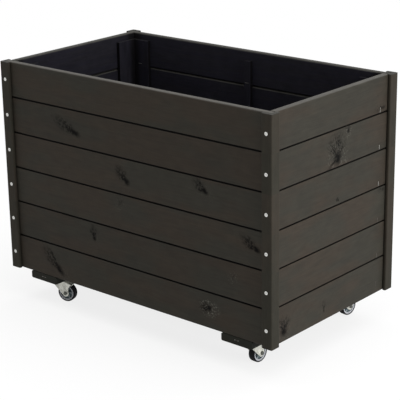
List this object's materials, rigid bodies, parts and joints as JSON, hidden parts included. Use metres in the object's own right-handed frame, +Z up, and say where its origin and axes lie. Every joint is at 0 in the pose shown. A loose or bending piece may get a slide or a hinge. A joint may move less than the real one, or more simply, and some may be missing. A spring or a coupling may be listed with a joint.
{
  "type": "rolling planter",
  "caption": "Rectangular timber planter box of stained tongue-and-groove boards with corner trims, open at the top, on swivel casters.",
  "frame": {"origin": "on the ground, below the middle of the box", "axes": "+X along the long walls to the right, +Y from the front wall to the back wall, +Z up"},
  "size_m": [0.88, 0.5, 0.65],
  "materials": {
    "stained_boards": "satin black-brown stain on planed softwood",
    "stained_trim": "satin black-brown stain on planed softwood",
    "stained_inside": "matt black-brown stain on sawn softwood",
    "zinc_steel": "bright zinc plating on pressed steel",
    "bolt_steel": "dull zinc plating",
    "bright_steel": "bright zinc plating",
    "grey_plastic": "grey moulded plastic",
    "black_rubber": "black rubber"
  },
  "bodies": {
    "planter_box": {"front_board_1": "stained_boards", "front_board_2": "stained_boards", "front_board_3": "stained_boards", "front_board_4": "stained_boards", "front_board_5": "stained_boards", "front_board_6": "stained_boards", "back_board_1": "stained_boards", "back_board_2": "stained_boards", "back_board_3": "stained_boards", "back_board_4": "stained_boards", "back_board_5": "stained_boards", "back_board_6": "stained_boards", "left_board_1": "stained_boards", "left_board_2": "stained_boards", "left_board_3": "stained_boards", "left_board_4": "stained_boards", "left_board_5": "stained_boards", "left_board_6": "stained_boards", "right_board_1": "stained_boards", "right_board_2": "stained_boards", "right_board_3": "stained_boards", "right_board_4": "stained_boards", "right_board_5": "stained_boards", "right_board_6": "stained_boards", "front_left_trim": "stained_trim", "front_right_trim": "stained_trim", "back_right_trim": "stained_trim", "back_left_trim": "stained_trim", "front_wall_battens": "stained_inside", "back_wall_battens": "stained_inside", "left_wall_battens": "stained_inside", "right_wall_battens": "stained_inside", "floor_boards": "stained_inside", "left_bearer": "stained_trim", "right_bearer": "stained_trim", "front_left_caster_plate": "zinc_steel", "front_right_caster_plate": "zinc_steel", "back_right_caster_plate": "zinc_steel", "back_left_caster_plate": "zinc_steel", "swivel_bearings": "bright_steel", "corner_screws": "bright_steel", "bearer_screws": "bright_steel", "caster_screws": "bright_steel", "staples": "bright_steel"},
    "front_left_swivel": {"front_left_caster_fork": "zinc_steel", "front_left_caster_axle": "bolt_steel"},
    "front_left_wheel": {"front_left_wheel_centre": "grey_plastic", "front_left_tyre": "black_rubber"},
    "front_right_swivel": {"front_right_caster_fork": "zinc_steel", "front_right_caster_axle": "bolt_steel"},
    "front_right_wheel": {"front_right_wheel_centre": "grey_plastic", "front_right_tyre": "black_rubber"},
    "back_right_swivel": {"back_right_caster_fork": "zinc_steel", "back_right_caster_axle": "bolt_steel"},
    "back_right_wheel": {"back_right_wheel_centre": "grey_plastic", "back_right_tyre": "black_rubber"},
    "back_left_swivel": {"back_left_caster_fork": "zinc_steel", "back_left_caster_axle": "bolt_steel"},
    "back_left_wheel": {"back_left_wheel_centre": "grey_plastic", "back_left_tyre": "black_rubber"}
  },
  "joints": [
    {"name": "front_left_swivel_turn", "type": "hinge", "parent": "planter_box", "child": "front_left_swivel", "pos_m": [-0.328, -0.185, 0.06], "axis": [0, 0, 1], "continuous": true},
    {"name": "front_left_wheel_spin", "type": "hinge", "parent": "front_left_swivel", "child": "front_left_wheel", "pos_m": [-0.30493, -0.17838, 0.025], "axis": [-0.2756, 0.9613, 0], "continuous": true},
    {"name": "front_right_swivel_turn", "type": "hinge", "parent": "planter_box", "child": "front_right_swivel", "pos_m": [0.328, -0.185, 0.06], "axis": [0, 0, 1], "continuous": true},
    {"name": "front_right_wheel_spin", "type": "hinge", "parent": "front_right_swivel", "child": "front_right_wheel", "pos_m": [0.32926, -0.16103, 0.025], "axis": [-0.9986, 0.0523, 0], "continuous": true},
    {"name": "back_right_swivel_turn", "type": "hinge", "parent": "planter_box", "child": "back_right_swivel", "pos_m": [0.328, 0.185, 0.06], "axis": [0, 0, 1], "continuous": true},
    {"name": "back_right_wheel_spin", "type": "hinge", "parent": "back_right_swivel", "child": "back_right_wheel", "pos_m": [0.33134, 0.20877, 0.025], "axis": [-0.9903, 0.1392, 0], "continuous": true},
    {"name": "back_left_swivel_turn", "type": "hinge", "parent": "planter_box", "child": "back_left_swivel", "pos_m": [-0.328, 0.185, 0.06], "axis": [0, 0, 1], "continuous": true},
    {"name": "back_left_wheel_spin", "type": "hinge", "parent": "back_left_swivel", "child": "back_left_wheel", "pos_m": [-0.30961, 0.20043, 0.025], "axis": [-0.6428, 0.766, 0], "continuous": true}
  ]
}
